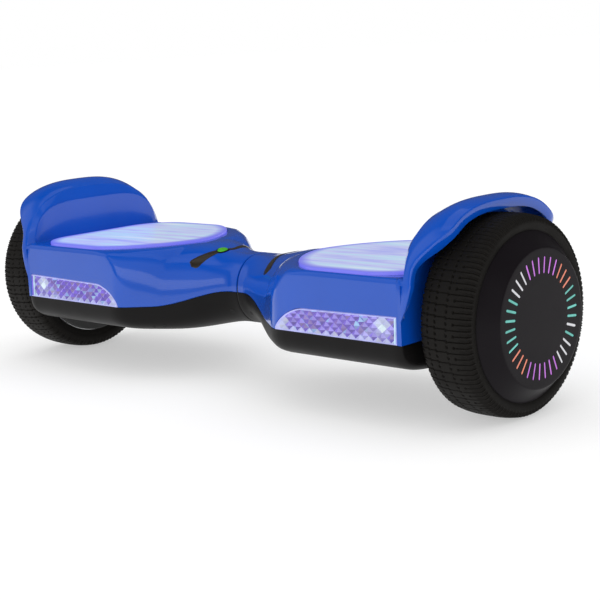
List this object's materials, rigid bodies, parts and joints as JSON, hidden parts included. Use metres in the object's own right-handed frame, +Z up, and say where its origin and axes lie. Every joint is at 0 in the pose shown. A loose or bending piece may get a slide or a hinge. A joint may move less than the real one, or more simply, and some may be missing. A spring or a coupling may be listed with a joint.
{
  "type": "self balancing hoverboard",
  "caption": "Two-wheeled self balancing hoverboard: two blue fendered footboards that tilt about a centre pivot, lit pads and headlamps, hub-motor wheels with light slots.",
  "frame": {"origin": "on the ground under the centre pivot, midway between the wheels", "axes": "+X along the axles towards the rider's right wheel as seen from the front, -Y towards the headlamps, +Z up"},
  "size_m": [0.646, 0.188, 0.1843],
  "materials": {
    "blue_shell": "glossy moulded plastic",
    "black_shell": "fine satin texture",
    "hub_black": "satin",
    "pad_white": "translucent, lit from inside",
    "lens_clear": "clear faceted prisms, lit from behind",
    "tyre_rubber": "matt tread",
    "black_rubber": "soft matt",
    "circuit_board": "solder mask",
    "cast_aluminium": "as cast",
    "steel": "turned",
    "copper": "enamelled wire",
    "bronze": "sintered",
    "battery_wrap": "shrink wrap",
    "light_guide": "clear light guide",
    "green_lens": "lit lens"
  },
  "bodies": {
    "right_half": {"right_upper_shell": "blue_shell", "right_lower_shell": "black_shell", "right_switch_board": "circuit_board", "right_headlamp_lens": "lens_clear", "right_headlamp_board": "circuit_board", "right_frame": "cast_aluminium", "right_axle": "steel", "right_axle_clamp": "cast_aluminium", "right_clamp_screws": "steel", "right_stator": "steel", "right_windings": "copper", "right_case_screws": "steel", "right_arrow": "black_shell", "pivot_tube": "steel", "pivot_circlips": "steel", "neck_seal": "black_rubber", "link_cable": "black_rubber", "main_board": "circuit_board", "heatsink": "cast_aluminium", "button_bezel": "black_shell"},
    "left_half": {"left_upper_shell": "blue_shell", "left_lower_shell": "black_shell", "left_switch_board": "circuit_board", "left_headlamp_lens": "lens_clear", "left_headlamp_board": "circuit_board", "left_frame": "cast_aluminium", "left_axle": "steel", "left_axle_clamp": "cast_aluminium", "left_clamp_screws": "steel", "left_stator": "steel", "left_windings": "copper", "left_case_screws": "steel", "left_arrow": "black_shell", "pivot_bushes": "bronze", "battery_pack": "battery_wrap", "charge_inlet": "black_shell", "status_lens": "green_lens"},
    "right_wheel": {"right_wheel_rim": "cast_aluminium", "right_magnets": "steel", "right_motor_cover": "black_shell", "right_bearings": "steel", "right_tyre": "tyre_rubber", "right_hub_cover": "hub_black", "right_hub_light": "light_guide"},
    "left_wheel": {"left_wheel_rim": "cast_aluminium", "left_magnets": "steel", "left_motor_cover": "black_shell", "left_bearings": "steel", "left_tyre": "tyre_rubber", "left_hub_cover": "hub_black", "left_hub_light": "light_guide"},
    "right_pad": {"right_foot_pad": "pad_white", "right_pad_plungers": "black_rubber", "right_pad_light": "circuit_board"},
    "left_pad": {"left_foot_pad": "pad_white", "left_pad_plungers": "black_rubber", "left_pad_light": "circuit_board"},
    "power_button": {"power_button": "blue_shell"},
    "charge_cap": {"charge_cap": "black_rubber"}
  },
  "joints": [
    {"name": "centre_pivot", "type": "hinge", "parent": "right_half", "child": "left_half", "pos_m": [0, 0, 0.085], "axis": [1, 0, 0], "range_deg": [-14, 14]},
    {"name": "right_wheel_spin", "type": "hinge", "parent": "right_half", "child": "right_wheel", "pos_m": [0.286, 0, 0.085], "axis": [1, 0, 0], "continuous": true},
    {"name": "left_wheel_spin", "type": "hinge", "parent": "left_half", "child": "left_wheel", "pos_m": [-0.286, 0, 0.085], "axis": [1, 0, 0], "continuous": true},
    {"name": "right_pad_press", "type": "slide", "parent": "right_half", "child": "right_pad", "axis": [0, 0, -1], "range_m": [0, 0.0015], "stiffness_N_per_m": 10000, "springref_m": -0.0004},
    {"name": "left_pad_press", "type": "slide", "parent": "left_half", "child": "left_pad", "axis": [0, 0, -1], "range_m": [0, 0.0015], "stiffness_N_per_m": 10000, "springref_m": -0.0004},
    {"name": "power_button_press", "type": "slide", "parent": "right_half", "child": "power_button", "axis": [0, -1, 0], "range_m": [0, 0.0012], "stiffness_N_per_m": 400, "springref_m": -0.0005},
    {"name": "charge_cap_hinge", "type": "hinge", "parent": "left_half", "child": "charge_cap", "pos_m": [-0.162, 0.0936, 0.0889], "axis": [-1, 0, 0], "range_deg": [0, 120]}
  ]
}
